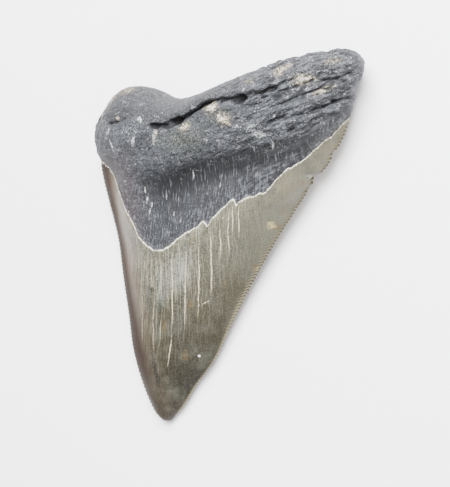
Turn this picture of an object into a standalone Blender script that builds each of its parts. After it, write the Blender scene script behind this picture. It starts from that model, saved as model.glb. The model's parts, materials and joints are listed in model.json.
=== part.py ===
"""Megalodon tooth: one solid, lying on its flat labial face with the tip towards -Y.

The tooth is two sheets, one over the lingual face and one over the labial face, welded along
the cutting edges and the root's outline. Each sheet is a grid of u and v: u runs across the
tooth from the short side (0) to the long side (1), and v from the tip (0) to the root's base
(1). Some rows of the grid follow a line of the tooth, such as the enamel's edge, so that the
steps and furrows there come out sharp with few faces.
Lengths are in millimetres from close to the tip, and MM turns them to metres at the end.
"""

import bmesh
import bpy
import numpy as np

MM = 0.001

# Outline, seen from the lingual side: x across the tooth, y from the tip to the root.
SHORT_SIDE = [
    (0.0, -0.6), (-1.2, -0.3), (-2.2, 0.5), (-3.4, 1.9), (-4.7, 4.3), (-7.8, 11.7), (-10.3, 20.9),
    (-11.4, 31.9), (-12.8, 43.9), (-14.1, 55.9), (-16.6, 65.9), (-18.9, 75.8), (-19.5, 83.0),
    (-18.3, 89.0), (-14.5, 94.4),
]
LONG_SIDE = [
    (0.0, -0.6), (1.4, -0.4), (2.5, 0.6), (3.8, 2.3), (5.7, 4.4), (10.8, 11.6), (17.5, 20.0),
    (22.9, 29.6), (29.8, 41.6), (38.9, 56.0), (48.9, 69.9), (58.3, 81.6), (63.7, 92.1),
    (64.6, 95.4), (65.1, 99.0), (67.6, 103.5), (68.0, 106.4), (66.9, 109.2),
]
ROOT_BASE = [
    (-14.5, 94.4), (-10.8, 99.3), (-7.8, 100.8), (-3.8, 101.1), (3.6, 99.5), (10.6, 97.3),
    (19.9, 99.2), (34.3, 104.2), (48.5, 108.3), (59.0, 109.8), (63.6, 110.4), (66.9, 109.2),
]

# Lines across the lingual face.
ENAMEL_LINE = [
    (-18.0, 79.0), (-12.0, 77.0), (-8.0, 73.2), (-3.6, 65.6), (2.0, 57.3), (5.2, 54.4),
    (8.8, 53.4), (12.8, 55.0), (19.0, 59.4), (25.0, 62.6), (32.0, 68.2), (42.0, 71.6),
    (47.0, 76.6), (55.5, 83.2), (63.6, 91.6),
]
TORUS_FOOT = [
    (-18.7, 82.0), (-8.0, 76.5), (2.0, 70.0), (10.3, 70.8), (21.8, 74.6), (30.1, 77.4),
    (37.5, 79.2), (49.1, 82.2), (57.5, 86.0), (64.4, 93.6),
]
FURROW = [
    (-18.2, 88.5), (-8.0, 89.6), (0.0, 89.3), (9.8, 89.1), (14.0, 89.6), (19.0, 90.8),
    (23.8, 93.4), (28.9, 96.0), (34.5, 96.8), (39.0, 97.2), (47.0, 99.6), (54.8, 102.6),
    (67.9, 103.8),
]
# The labial face's enamel ends higher.
LABIAL_ENAMEL_LINE = [(-18.0, 79.0), (-4.0, 78.0), (16.0, 76.0), (38.0, 80.0), (63.6, 91.6)]

# Where those lines lie along v, and where the rows there meet the two sides, as parts of their length.
KEY_ROWS = [0.0, 0.70, 0.78, 0.88, 1.0]
ENAMEL_ROW, FOOT_ROW, FURROW_ROW, BASE_ROW = KEY_ROWS[1:]
SHORT_SIDE_AT = [0.0, 0.834, 0.865, 0.93, 1.0]
LONG_SIDE_AT = [0.0, 0.858, 0.875, 0.955, 1.0]

# Height of the cutting edges above the surface that the tooth lies on, at the tip and the base.
TIP_EDGE_HEIGHT = 1.8
BASE_EDGE_HEIGHT = 10.2
# How far the lingual face rises above them, along v.
LINGUAL_RISE = [
    (0.0, 0.0), (0.02, 1.9), (0.06, 3.4), (0.2, 6.4), (0.4, 9.2), (0.6, 11.0), (0.7, 11.4),
    (0.74, 10.7), (0.775, 10.5), (0.79, 11.4), (0.82, 15.4), (0.84, 16.5), (0.88, 16.9), (1.0, 15.0),
]
# The shape of a section: where its ridge is, and (power, roundness) pairs for section().
LINGUAL_RIDGE = -0.15
LINGUAL_CROWN = ((2.2, 0.58), (1.7, 1.0))
LINGUAL_ROOT = (2.6, 0.5)
LABIAL_RIDGE = 0.0
LABIAL_CROWN = ((2.2, 1.0), (2.2, 1.0))
LABIAL_ROOT = (5.0, 0.5)
ROOT_SECTION_FROM, ROOT_SECTION_BY = ENAMEL_ROW - 0.04, FOOT_ROW + 0.02
# Between these places across, the short side's shape gives way to the long side's.
LONG_SHAPE_FROM, LONG_SHAPE_BY = 0.35, 0.65

# The enamel stands proud of the root by ENAMEL_STEP, which falls away over STEP_WIDTH of v.
ENAMEL_STEP = 0.5
STEP_WIDTH = 0.004
# The torus swells out of the hollow over this much of v.
TORUS_SWELL = 0.05
# The short lobe is fuller than the hollow beside it, up to these places across.
LOBE_FULLNESS = 2.0
LOBE_FROM, LOBE_TO = -2.0, 7.0
# Its corner at the base falls away.
CORNER_DROP, CORNER_PLACE, CORNER_WIDTH = 4.0, (-15.0, 96.5), 6.0
# The long furrow: its depth, its widths along v below and above, and where it ends and fades.
FURROW_DEPTH = 2.4
FURROW_BELOW, FURROW_ABOVE = 0.008, 0.02
FURROW_FROM, FURROW_TO, FURROW_FADE = 6.0, 60.0, 10.0
# Short furrows on the long lobe: place along v, where they start and end across, and depth.
SIDE_FURROWS = [(0.862, 38, 56, 1.2), (0.82, 55, 66, 1.0), (0.90, 58, 66, 1.0)]
SIDE_FURROW_WIDTH, SIDE_FURROW_FADE = 0.007, 5.0
# Low hills over the root, and ridges that run along the long lobe.
HILL_HEIGHT, HILL_SIZE = 0.5, 5.5
RIDGE_HEIGHT, RIDGE_LENGTH, RIDGE_CROWDING = 0.8, 9.0, 3.2
RIDGES_FROM, RIDGES_BY = 30.0, 46.0
RIDGE_SLANT = np.radians(20)
# Any large odd numbers: they scatter the heights of the hills, and shift one seed from the next.
SCATTER_X, SCATTER_Y, SCATTER = 12.9898, 78.233, 43758.5453
SEED_SHIFT_X, SEED_SHIFT_Y = 17.3, 5.1

# The labial face lies flat, but its waist and the notch between the lobes stand clear.
FLAT_SINK = 0.4
WAIST_LIFT, WAIST_Y, WAIST_WIDTH = 1.2, 48.0, 20.0
LOBE_SINK, LOBE_SINK_FROM, LOBE_SINK_BY = 1.4, 0.75, 0.9
NOTCH_HOLLOW, NOTCH_PLACE, NOTCH_WIDTH = 4.0, (21.0, 93.0), 14.0
LABIAL_STEP_FADE_FROM, LABIAL_STEP_FADE_BY = 0.74, 0.8
TIP_FLAT_BY = 0.03

# The mesh: rows of the grid between key rows, and the angle that shows as an edge.
CROWN_ROWS, STEP_ROWS, BOURLETTE_ROWS, TORUS_ROWS, BASE_ROWS = 40, 1, 11, 13, 13
COLUMNS = 28
# How much closer the rows stand towards the base, and the columns towards both edges, from 0 to 1.
BASE_CROWDING, EDGE_CROWDING = 0.6, 0.4
WELD = 1e-4
SHARP_ANGLE = np.radians(40)

# The cutting edges: points pushed out at this pitch, which start small above the tip.
SERRATION_PITCH = 1.07
SERRATION_DEPTH = 0.35
SERRATIONS_FROM, SERRATIONS_BY = 0.5, 4.0
# Chips in the long side's cutting edge: height on the tooth, depth and half width.
CHIPS = [(72.4, 0.6, 1.0), (75.4, 1.0, 1.2), (82.0, 0.7, 1.0)]

# Linear colours and roughnesses of the enamel and the root.
ENAMEL_COLOUR, ENAMEL_ROUGHNESS = (0.27, 0.25, 0.20), 0.35
ROOT_COLOUR, ROOT_ROUGHNESS = (0.12, 0.125, 0.135), 0.7


def hermite(start, end, leave, arrive, part):
    """The cubic from start to end with the given slopes there, part of the way along."""
    bend = 2 * (start - end) + leave + arrive
    return start + part * (leave + part * (3 * (end - start) - 2 * leave - arrive + part * bend))


def curve_through(points, part):
    """A smooth curve through the points, at a part of its length from 0 to 1."""
    points = np.asarray(points, float)
    length = np.concatenate([[0], np.cumsum(np.hypot(*np.diff(points, axis=0).T))])
    length = length / length[-1]
    slope = np.stack([np.gradient(points[:, k], length) for k in (0, 1)], axis=1)
    part = np.clip(part, 0, 1)
    k = np.clip(np.searchsorted(length, part, side="right") - 1, 0, len(points) - 2)
    gap = (length[k + 1] - length[k])[..., None]
    t = (part - length[k])[..., None] / gap
    return hermite(points[k], points[k + 1], slope[k] * gap, slope[k + 1] * gap, t)


def line_at(points, x):
    """A smooth line through (x, value) points, at x."""
    xs, values = np.array(points, float).T
    slope = np.gradient(values, xs)
    x = np.clip(x, xs[0], xs[-1])
    k = np.clip(np.searchsorted(xs, x, side="right") - 1, 0, len(xs) - 2)
    gap = xs[k + 1] - xs[k]
    return hermite(values[k], values[k + 1], slope[k] * gap, slope[k + 1] * gap, (x - xs[k]) / gap)


def ramp(x, start, end):
    """0 below start, 1 above end, and smooth between."""
    t = np.clip((x - start) / (end - start), 0, 1)
    return t * t * (3 - 2 * t)


def between(x, start, end, fade):
    """1 between start and end, with a smooth fade inside each."""
    return ramp(x, start, start + fade) * (1 - ramp(x, end - fade, end))


def bump(x, middle, width):
    """A bell of height 1."""
    return np.exp(-(((x - middle) / width) ** 2))


def lumps(x, y, size, seed):
    """Smooth random hills between -1 and 1, about size across."""
    x, y = x / size + SEED_SHIFT_X * seed, y / size + SEED_SHIFT_Y * seed
    column, row = np.floor(x), np.floor(y)
    fx, fy = ramp(x - column, 0, 1), ramp(y - row, 0, 1)

    def corner(i, j):
        spread = np.sin((column + i) * SCATTER_X + (row + j) * SCATTER_Y) * SCATTER
        return 2 * (spread - np.floor(spread)) - 1

    low = corner(0, 0) * (1 - fx) + corner(1, 0) * fx
    high = corner(0, 1) * (1 - fx) + corner(1, 1) * fx
    return low * (1 - fy) + high * fy


def side_points(v):
    """Where the row at v meets the short side and the long side."""
    short = curve_through(SHORT_SIDE, np.interp(v, KEY_ROWS, SHORT_SIDE_AT))
    long = curve_through(LONG_SIDE, np.interp(v, KEY_ROWS, LONG_SIDE_AT))
    return short, long


def plan(u, v, lines):
    """x and y of (u, v): straight rows from side to side, bent to follow the lines given for key rows."""
    across = u[..., None]
    short, long = side_points(v)
    rows, offsets = [0.0], [0.0 * across]
    for row, line in lines:
        start, end = side_points(row)
        start, end = line[0] - start, line[-1] - end
        begin, finish = side_points(np.full_like(u, row))
        along = curve_through(line, u) - start * (1 - across) - end * across
        rows.append(row)
        offsets.append(along - begin * (1 - across) - finish * across)
    place = np.interp(v, rows, np.arange(len(rows)))
    place = np.where(place < 1, place**2, place)
    weights = [np.clip(1 - np.abs(place - k), 0, 1)[..., None] for k in range(len(rows))]
    point = short * (1 - across) + long * across + sum(w * o for w, o in zip(weights, offsets))
    return point[..., 0], point[..., 1]


def edge_height(v):
    return TIP_EDGE_HEIGHT + (BASE_EDGE_HEIGHT - TIP_EDGE_HEIGHT) * v


def section(u, v, ridge, crown, root):
    """A section's height: 1 along the ridge, 0 at both edges.

    Away from the ridge it falls as (1 - s ** power) ** roundness, where s is 1 at the edge.
    crown holds (power, roundness) for the short and the long side, and root one pair for both.
    """
    s = 2 * u - 1
    s = np.where(s < ridge, (ridge - s) / (1 + ridge), (s - ridge) / (1 - ridge))
    rooted = ramp(v, ROOT_SECTION_FROM, ROOT_SECTION_BY)
    on_long = ramp(u, LONG_SHAPE_FROM, LONG_SHAPE_BY)
    power, roundness = (
        (short * (1 - on_long) + long * on_long) * (1 - rooted) + base * rooted
        for short, long, base in zip(*crown, root)
    )
    return np.clip(1 - np.abs(s) ** power, 0, 1) ** roundness


def rounded_end(v, start):
    """1 up to start, then a quarter ellipse down to 0 at the root's base."""
    t = np.clip((v - start) / (BASE_ROW - start), 0, 1)
    return np.sqrt(1 - t * t)


def lingual_point(u, v):
    lines = [(ENAMEL_ROW, ENAMEL_LINE), (FOOT_ROW, TORUS_FOOT), (FURROW_ROW, FURROW)]
    x, y = plan(u, v, lines + [(BASE_ROW, ROOT_BASE)])
    step_end = ENAMEL_ROW + STEP_WIDTH
    on_torus = ramp(v, FOOT_ROW, FOOT_ROW + TORUS_SWELL)
    rise = line_at(LINGUAL_RISE, v) - ENAMEL_STEP * ramp(v, ENAMEL_ROW, step_end)
    lobe = (1 - ramp(x, LOBE_FROM, LOBE_TO)) * ramp(v, step_end, FOOT_ROW) * (1 - on_torus)
    rise = rise + LOBE_FULLNESS * lobe
    corner_x, corner_y = CORNER_PLACE
    rise = rise - CORNER_DROP * bump(x, corner_x, CORNER_WIDTH) * bump(y, corner_y, CORNER_WIDTH)
    furrow = bump(v, FURROW_ROW, np.where(v > FURROW_ROW, FURROW_ABOVE, FURROW_BELOW))
    rise = rise - FURROW_DEPTH * furrow * between(x, FURROW_FROM, FURROW_TO, FURROW_FADE)
    for row, start, end, depth in SIDE_FURROWS:
        groove = bump(v, row, SIDE_FURROW_WIDTH) * between(x, start, end, SIDE_FURROW_FADE)
        rise = rise - depth * groove
    rise = rise + HILL_HEIGHT * on_torus * lumps(x, y, HILL_SIZE, 1)
    along = np.cos(RIDGE_SLANT) * x + np.sin(RIDGE_SLANT) * y
    over = np.cos(RIDGE_SLANT) * y - np.sin(RIDGE_SLANT) * x
    ridges = lumps(along, RIDGE_CROWDING * over, RIDGE_LENGTH, 2)
    rise = rise + RIDGE_HEIGHT * on_torus * ramp(x, RIDGES_FROM, RIDGES_BY) * ridges
    profile = section(u, v, LINGUAL_RIDGE, LINGUAL_CROWN, LINGUAL_ROOT)
    return x, y, edge_height(v) + rise * profile * rounded_end(v, FURROW_ROW)


def labial_point(u, v):
    x, y = plan(u, v, [(ENAMEL_ROW, LABIAL_ENAMEL_LINE), (BASE_ROW, ROOT_BASE)])
    lift = WAIST_LIFT * bump(y, WAIST_Y, WAIST_WIDTH) - FLAT_SINK
    lift = lift - LOBE_SINK * ramp(v, LOBE_SINK_FROM, LOBE_SINK_BY)
    notch_x, notch_y = NOTCH_PLACE
    lift = lift + NOTCH_HOLLOW * bump(x, notch_x, NOTCH_WIDTH) * bump(y, notch_y, NOTCH_WIDTH)
    step = ramp(v, ENAMEL_ROW, ENAMEL_ROW + STEP_WIDTH)
    lift = lift + ENAMEL_STEP * step * (1 - ramp(v, LABIAL_STEP_FADE_FROM, LABIAL_STEP_FADE_BY))
    profile = section(u, v, LABIAL_RIDGE, LABIAL_CROWN, LABIAL_ROOT)
    profile = profile * rounded_end(v, FURROW_ROW) * ramp(v, 0, TIP_FLAT_BY)
    return x, y, np.maximum(edge_height(v) - (edge_height(v) - lift) * profile, 0)


def row_places():
    stops = [0.0, ENAMEL_ROW, ENAMEL_ROW + STEP_WIDTH, FOOT_ROW, FURROW_ROW]
    counts = [CROWN_ROWS, STEP_ROWS, BOURLETTE_ROWS, TORUS_ROWS]
    rows = [
        start + (end - start) * np.arange(count) / count
        for start, end, count in zip(stops, stops[1:], counts)
    ]
    turn = np.arange(BASE_ROWS + 1) / BASE_ROWS
    eased = (1 - BASE_CROWDING) * turn + BASE_CROWDING * np.sin(turn * np.pi / 2)
    return np.concatenate([*rows, FURROW_ROW + (BASE_ROW - FURROW_ROW) * eased])


def column_places():
    turn = np.arange(COLUMNS + 1) / COLUMNS
    return (1 - EDGE_CROWDING) * turn + EDGE_CROWDING * (0.5 - 0.5 * np.cos(turn * np.pi))


def add_sheet(bm, point_at, facing_down):
    """A grid, moved to the face that point_at gives. Its crown takes the first material."""
    rows, columns = row_places(), column_places()
    sheet = bmesh.ops.create_grid(bm, x_segments=COLUMNS, y_segments=len(rows) - 1, size=0.5)
    flat = np.array([vert.co for vert in sheet["verts"]]) + 0.5
    u = columns[np.rint(flat[:, 0] * COLUMNS).astype(int)]
    v = rows[np.rint(flat[:, 1] * (len(rows) - 1)).astype(int)]
    for vert, point in zip(sheet["verts"], np.stack(point_at(u, v), axis=1)):
        vert.co = point
    faces = list({face for vert in sheet["verts"] for face in vert.link_faces})
    row_of = dict(zip(sheet["verts"], v))
    for face in faces:
        face.material_index = int(max(row_of[vert] for vert in face.verts) > ENAMEL_ROW)
    if facing_down:
        bmesh.ops.reverse_faces(bm, faces=faces)


def cutting_edge(bm, side):
    """The edges along one side of the crown, where a face that looks up meets one that looks down."""
    ends = side_points(np.array(ENAMEL_ROW))
    lean = (ends[0][0] + ends[1][0]) / (ends[0][1] + ends[1][1])
    bm.normal_update()
    edges = []
    for edge in bm.edges:
        upper, lower = (face.normal.z for face in edge.link_faces)
        middle = (edge.verts[0].co + edge.verts[1].co) / 2
        if upper * lower < 0 and middle.y < ends[side][1] and (middle.x > lean * middle.y) == bool(side):
            edges.append(edge)
    return edges


def serrate(bm, side):
    """Splits one cutting edge into half pitches and pushes every second point out. 1 is the long side."""
    for edge in cutting_edge(bm, side):
        cuts = round(edge.calc_length() / (SERRATION_PITCH / 2)) - 1
        if cuts > 0:
            bmesh.ops.subdivide_edges(bm, edges=[edge], cuts=cuts)
    line = sorted({vert for edge in cutting_edge(bm, side) for vert in edge.verts}, key=lambda v: v.co.y)
    points = np.array([vert.co for vert in line])
    along = np.gradient(points[:, :2], axis=0)
    out = np.stack([along[:, 1], -along[:, 0]], axis=1) / np.hypot(*along.T)[:, None]
    grown = ramp(points[:, 1], SERRATIONS_FROM, SERRATIONS_BY)
    push = SERRATION_DEPTH * (np.arange(len(line)) % 2) * grown
    points[:, :2] += (push * (1 if side else -1))[:, None] * out
    if side:
        points[:, 0] -= sum(depth * bump(points[:, 1], y, width) for y, depth, width in CHIPS)
    for vert, point in zip(line, points):
        vert.co = point


def centre_in_plan(bm):
    """Puts the origin under the middle of the tooth's box."""
    points = np.array([vert.co for vert in bm.verts])
    middle = (points.min(axis=0) + points.max(axis=0)) / 2
    bmesh.ops.translate(bm, verts=bm.verts[:], vec=(-middle[0], -middle[1], 0))


def surface_material(name, colour, roughness):
    material = bpy.data.materials.new(name)
    material.use_nodes = True
    shader = material.node_tree.nodes["Principled BSDF"]
    shader.inputs["Base Color"].default_value = (*colour, 1)
    shader.inputs["Roughness"].default_value = roughness
    shader.inputs["Metallic"].default_value = 0
    return material


def make_tooth():
    bm = bmesh.new()
    add_sheet(bm, lingual_point, False)
    add_sheet(bm, labial_point, True)
    bmesh.ops.remove_doubles(bm, verts=bm.verts[:], dist=WELD)
    serrate(bm, 0)
    serrate(bm, 1)
    bmesh.ops.triangulate(bm, faces=bm.faces[:])
    centre_in_plan(bm)
    bmesh.ops.scale(bm, verts=bm.verts[:], vec=(MM, MM, MM))
    mesh = bpy.data.meshes.new("tooth")
    bm.to_mesh(mesh)
    bm.free()
    mesh.materials.append(surface_material("fossil_enamel", ENAMEL_COLOUR, ENAMEL_ROUGHNESS))
    mesh.materials.append(surface_material("fossil_root", ROOT_COLOUR, ROOT_ROUGHNESS))
    mesh.shade_smooth()
    mesh.set_sharp_from_angle(angle=SHARP_ANGLE)
    return mesh


for old in list(bpy.data.objects):
    bpy.data.objects.remove(old)
tooth = bpy.data.objects.new("tooth", make_tooth())
bpy.context.scene.collection.objects.link(tooth)
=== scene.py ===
"""Megalodon tooth, lying on a pale table: one closed surface with its enamel and root, light and camera.

The tooth is two sheets over one grid of u and v, as in the solid: u runs across from the short side
(0) to the long side (1), and v from the tip (0) to the root's base (1). Here the two sheets join as
rings round the tooth, fine enough for the serrations, the root's grain and its furrows.
Lengths are in millimetres from close to the tip, until fit_to_solid turns them to metres.
"""

import json

import bpy
import numpy as np
from mathutils import Matrix, Vector

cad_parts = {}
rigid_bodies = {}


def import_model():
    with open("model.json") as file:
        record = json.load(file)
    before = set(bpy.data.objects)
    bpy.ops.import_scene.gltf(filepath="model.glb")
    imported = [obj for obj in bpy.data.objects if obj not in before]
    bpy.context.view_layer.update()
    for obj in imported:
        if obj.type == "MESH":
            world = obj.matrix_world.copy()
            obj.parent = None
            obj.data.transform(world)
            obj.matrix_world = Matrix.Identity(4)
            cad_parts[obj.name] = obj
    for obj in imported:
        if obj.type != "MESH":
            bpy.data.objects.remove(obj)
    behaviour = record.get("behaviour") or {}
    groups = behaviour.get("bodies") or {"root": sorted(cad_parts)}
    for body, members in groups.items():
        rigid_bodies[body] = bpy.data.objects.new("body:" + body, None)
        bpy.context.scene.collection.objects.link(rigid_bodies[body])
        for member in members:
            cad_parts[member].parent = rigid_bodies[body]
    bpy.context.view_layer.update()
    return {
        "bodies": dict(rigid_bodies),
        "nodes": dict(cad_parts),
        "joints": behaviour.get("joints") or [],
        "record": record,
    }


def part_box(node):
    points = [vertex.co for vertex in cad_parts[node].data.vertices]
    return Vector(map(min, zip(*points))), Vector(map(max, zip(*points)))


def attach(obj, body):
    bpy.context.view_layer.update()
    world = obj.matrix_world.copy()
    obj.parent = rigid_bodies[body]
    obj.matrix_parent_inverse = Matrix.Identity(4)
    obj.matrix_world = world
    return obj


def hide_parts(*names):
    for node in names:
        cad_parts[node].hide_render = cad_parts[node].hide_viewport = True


MM = 0.001

# Outline, seen from the lingual side: x across the tooth, y from the tip to the root.
SHORT_SIDE = [
    (0.0, -0.6), (-1.2, -0.3), (-2.2, 0.5), (-3.4, 1.9), (-4.7, 4.3), (-7.8, 11.7), (-10.3, 20.9),
    (-11.4, 31.9), (-12.8, 43.9), (-14.1, 55.9), (-16.6, 65.9), (-18.9, 75.8), (-19.5, 83.0),
    (-18.3, 89.0), (-14.5, 94.4),
]
LONG_SIDE = [
    (0.0, -0.6), (1.4, -0.4), (2.5, 0.6), (3.8, 2.3), (5.7, 4.4), (10.8, 11.6), (17.5, 20.0),
    (22.9, 29.6), (29.8, 41.6), (38.9, 56.0), (48.9, 69.9), (58.3, 81.6), (63.7, 92.1),
    (64.6, 95.4), (65.1, 99.0), (67.6, 103.5), (68.0, 106.4), (66.9, 109.2),
]
ROOT_BASE = [
    (-14.5, 94.4), (-10.8, 99.2), (-7.8, 100.6), (-3.8, 101.1), (3.6, 99.4), (7.1, 97.85), (10.6, 97.3),
    (15.0, 97.7), (19.9, 99.05), (26.0, 101.1), (34.3, 104.1), (48.5, 108.3), (59.0, 109.8), (63.6, 110.4),
    (66.9, 109.2),
]
# The enamel's edge, with the small notches where cracks reach it.
ENAMEL_LINE = [
    (-18.0, 79.0), (-12.0, 77.0), (-8.6, 74.3), (-6.0, 69.9), (-3.8, 65.9), (-0.7, 61.6),
    (2.1, 57.4), (5.1, 54.7), (7.7, 53.6), (9.7, 53.7), (12.5, 54.8), (16.3, 57.7),
    (19.0, 59.4), (22.0, 60.9), (24.3, 62.3), (25.3, 61.3), (26.4, 62.9), (28.4, 64.7),
    (30.7, 67.1), (33.1, 69.1), (33.8, 67.2), (35.2, 68.6), (38.5, 69.8), (42.2, 71.3),
    (46.0, 75.8), (48.3, 77.6), (51.2, 79.3), (52.6, 80.6), (55.7, 83.4), (59.9, 87.5),
    (63.6, 91.6),
]
TORUS_FOOT = [
    (-18.7, 82.0), (-8.0, 76.5), (2.0, 70.0), (10.3, 70.8), (21.8, 74.6), (30.1, 77.4),
    (37.5, 79.2), (49.1, 82.2), (57.5, 86.0), (64.4, 93.6),
]
FURROW = [
    (-18.2, 88.5), (-8.0, 89.6), (0.0, 89.3), (9.8, 89.1), (14.0, 89.6), (19.0, 90.8),
    (23.8, 93.4), (28.9, 96.0), (34.5, 96.8), (39.0, 97.2), (47.0, 99.6), (54.8, 102.6),
    (67.9, 103.8),
]
LABIAL_ENAMEL_LINE = [(-18.0, 79.0), (-4.0, 78.0), (16.0, 76.0), (38.0, 80.0), (63.6, 91.6)]

# Where those lines lie along v, and where the rows there meet the two sides.
KEY_ROWS = [0.0, 0.70, 0.78, 0.88, 1.0]
ENAMEL_ROW, FOOT_ROW, FURROW_ROW, BASE_ROW = KEY_ROWS[1:]
SHORT_SIDE_AT = [0.0, 0.834, 0.865, 0.93, 1.0]
LONG_SIDE_AT = [0.0, 0.858, 0.875, 0.955, 1.0]

# Height of the cutting edges, and how far the lingual face rises above them along v.
TIP_EDGE_HEIGHT, BASE_EDGE_HEIGHT = 1.8, 10.2
LINGUAL_RISE = [
    (0.0, 0.0), (0.02, 1.9), (0.06, 3.4), (0.2, 6.4), (0.4, 9.2), (0.6, 11.0), (0.7, 11.4),
    (0.74, 10.7), (0.775, 10.5), (0.79, 11.4), (0.82, 15.4), (0.84, 16.5), (0.88, 16.9), (1.0, 15.0),
]
# Sections: where the ridge lies, from -1 to 1 across, and the (power, roundness) of the crown's
# short side, its long side and the root.
LINGUAL_RIDGE = -0.15
LINGUAL_CROWN, LINGUAL_ROOT = ((2.2, 0.58), (1.7, 1.0)), (2.6, 0.5)
LABIAL_RIDGE = 0.0
LABIAL_CROWN, LABIAL_ROOT = ((2.2, 1.0), (2.2, 1.0)), (5.0, 0.5)
ROOT_SECTION_FROM, ROOT_SECTION_BY = ENAMEL_ROW - 0.04, FOOT_ROW + 0.02
# The short side's section gives way to the long side's between these parts of u.
SIDES_BLEND = (0.35, 0.65)
# Depths are in millimetres, and widths of what runs across the tooth in v.
ENAMEL_STEP, STEP_WIDTH, TORUS_SWELL = 0.5, 0.004, 0.05
KINK_WIDTH, KINK_REACH, KINK_STEPS = 0.06, 0.07, 401
# The enamel's edge is ragged: height and reach, and the (share, size, seed) of its lumps.
RAGGED, RAGGED_REACH, RAGGED_INSIDE = 0.38, 0.012, 0.05
RAGGED_LUMPS = [(1.0, 1.5, 5), (0.6, 0.8, 6)]
# The lingual face: the short lobe's fullness, the low corner of its base and the furrows.
LOBE_FULLNESS, LOBE_FROM, LOBE_TO = 2.0, -2.0, 7.0
CORNER_DROP, CORNER_PLACE, CORNER_WIDTH = 4.0, (-15.0, 96.5), 6.0
FURROW_DEPTH, FURROW_BELOW, FURROW_ABOVE = 1.5, 0.005, 0.009
FURROW_FROM, FURROW_TO, FURROW_FADE = 6.0, 58.0, 12.0
SIDE_FURROWS = [(0.862, 38, 56, 1.2), (0.82, 55, 66, 1.0), (0.90, 58, 66, 1.0)]
SIDE_FURROW_WIDTH, SIDE_FURROW_FADE = 0.007, 5.0
# The root's broad hills, and the oblique ridges of the long lobe.
HILL_HEIGHT, HILL_SIZE = 0.5, 5.5
RIDGE_HEIGHT, RIDGE_LENGTH, RIDGE_CROWDING = 0.8, 9.0, 3.2
RIDGES_FROM, RIDGES_BY, RIDGE_SLANT = 30.0, 46.0, np.radians(20)
# The labial face sinks flat into the table, is hollow at the waist and the notch, and low at the lobes.
FLAT_SINK = 0.4
WAIST_LIFT, WAIST_Y, WAIST_WIDTH = 1.2, 48.0, 20.0
LOBE_SINK, LOBE_SINK_FROM, LOBE_SINK_BY = 1.4, 0.75, 0.9
NOTCH_HOLLOW, NOTCH_PLACE, NOTCH_WIDTH = 4.0, (21.0, 93.0), 14.0
LABIAL_STEP_FADE_FROM, LABIAL_STEP_FADE_BY, TIP_FLAT_BY = 0.74, 0.8, 0.03

# The grid. Two rows make one serration of the long edge, and three one of the short edge.
LONG_SERRATIONS, ROWS_A_LONG, ROWS_A_SHORT = 102, 2, 3
STEP_ROWS, BOURLETTE_ROWS, TORUS_ROWS, BASE_ROWS = 1, 38, 84, 80
# Along the base each column of the flat labial face meets three of the lingual face.
STITCHES = 3
LABIAL_COLUMNS = 60
LINGUAL_COLUMNS = STITCHES * LABIAL_COLUMNS
SERRATION_DEPTH, SERRATION_REACH = 0.5, 0.9
SERRATIONS_FROM, SERRATIONS_BY, SERRATIONS_FADE = 0.5, 4.0, 0.02
# How far their shade reaches in from the edge: least near the tip. It is weaker on the short side.
TICK_REACH, TICK_LEAST, TICK_FROM, TICK_BY, SHORT_TICK = 1.9, 0.3, 22, 44, 0.6
# Rows crowd towards the base's line and columns towards the cutting edges, by these shares.
BASE_EASE, COLUMN_EASE = 0.6, 0.4
# The distance from the enamel's edge is kept up to this far, and the tip has no relief.
EDGE_SEEN, TIP_SMOOTH_BY, SMALL = 6.0, 0.01, 1e-9
# The two faces lie side by side on a map this many millimetres wide, about these middles.
CHART_SPAN, CHART_MARGIN, CHART_MIDDLES = 256.0, 0.01, (0.25, 0.75)
# Notches worn in the long edge: y, depth and half width. They reach in farther than a serration.
CHIPS = [(72.4, 0.6, 1.0), (75.4, 1.0, 1.2), (82.0, 0.7, 1.0)]
CHIP_REACH = 2

# The relief. Each row of hills is (height, size, seed), and sizes are in millimetres.
GRAIN_HILLS = [(0.16, 2.8, 1), (0.17, 1.4, 2), (0.14, 0.7, 14)]
PIT_DEPTH, PIT_SIZE, PIT_SEED, PIT_SHARE = 0.40, 0.9, 3, 0.25
# Stretched along the long lobe: strips, whose lowest parts get painted shade as dark valleys.
STRIP_HILLS = [(0.42, (7, 1.7, 3.0), 4), (0.42, (3.2, 0.8, 1.6), 5), (0.26, (1.4, 0.55, 0.8), 15)]
VALLEY_PAINTED_SHADE, VALLEY_FROM, VALLEY_BY = 0.65, 0.10, 0.42
STRIA_HILLS = [(0.13, (0.9, 7, 9), 6), (0.10, 5, 7)]
CROWN_HILLS = [(0.03, (5, 9, 9), 8)]
# The long lobe begins between these x, and the grain, the band and the smooth base at these rows.
LONG_LOBE = (26, 44)
ROUGH_BY, BAND_TO, BAND_FADE = FOOT_ROW + 0.03, FOOT_ROW + 0.01, 0.012
SMOOTH_FROM, SMOOTH_BY, SMOOTHING = FURROW_ROW + 0.02, FURROW_ROW + 0.06, 0.5

# The slit along the furrow's floor, cut and given painted shade, and its wander. Distances across it are in
# v.
SLIT_DEPTH, SLIT_WIDTH, SLIT_WANDER = 0.9, 0.0020, 0.0036
SLIT_FROM, SLIT_TO, SLIT_FADE = 8.5, 52.0, 5.0
WANDER_HILLS = [(0.7, 2.8, 9), (0.7, 1.3, 10), (0.5, 0.8, 16)]
NARROW_HILLS = [(0.5, 3.7, 11), (0.35, 0.9, 17)]
SLIT_HILLS, SLIT_MEAN, SLIT_MOST = [(0.6, 4.0, 12)], 0.85, 1.2
SLIT_LOSS, SLIT_LOSS_FROM, SLIT_LOSS_BY = 0.4, 32, 46
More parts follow.
